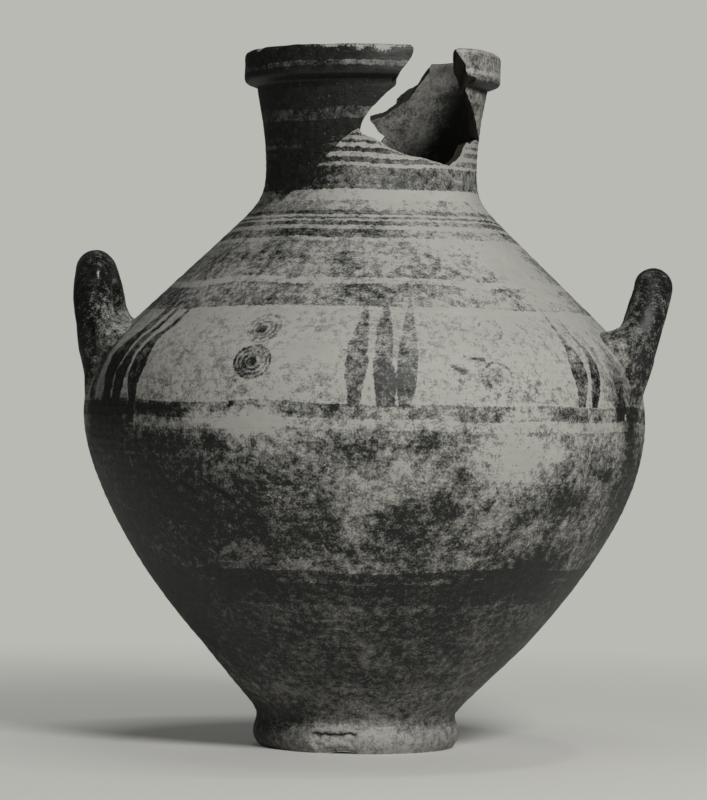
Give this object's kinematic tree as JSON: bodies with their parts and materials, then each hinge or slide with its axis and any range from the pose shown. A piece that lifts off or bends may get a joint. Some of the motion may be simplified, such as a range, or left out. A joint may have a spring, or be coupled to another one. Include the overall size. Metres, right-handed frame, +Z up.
{
  "type": "two-handled pithos",
  "caption": "Large clay storage jar with a swelling body, small ring foot, upright loop handles and a broken, mended neck with a thick rim.",
  "frame": {"origin": "on the floor, on the axis of the jar's body", "axes": "+Z up along the body's axis, -Y the painted front, -X the left handle and +X the right handle as the front is seen"},
  "size_m": [0.6047, 0.5674, 0.7],
  "materials": {
    "bare_clay": "matte fired clay, unglazed",
    "worn_painted_clay": "matte pale slip with worn dark bands",
    "dark_painted_clay": "matte dark iron-rich paint on fired clay",
    "mending_glue": "thin brown adhesive"
  },
  "bodies": {
    "root": {"base_disc": "bare_clay", "foot_ring": "bare_clay", "lower_wall": "bare_clay", "belly_wall": "worn_painted_clay", "shoulder_wall": "worn_painted_clay", "neck_stump": "worn_painted_clay", "left_neck_sherd": "dark_painted_clay", "right_neck_sherd": "worn_painted_clay", "left_handle": "dark_painted_clay", "right_handle": "dark_painted_clay", "left_handle_luting": "worn_painted_clay", "right_handle_luting": "worn_painted_clay", "left_sherd_glue": "mending_glue", "right_sherd_glue": "mending_glue"}
  },
  "joints": []
}
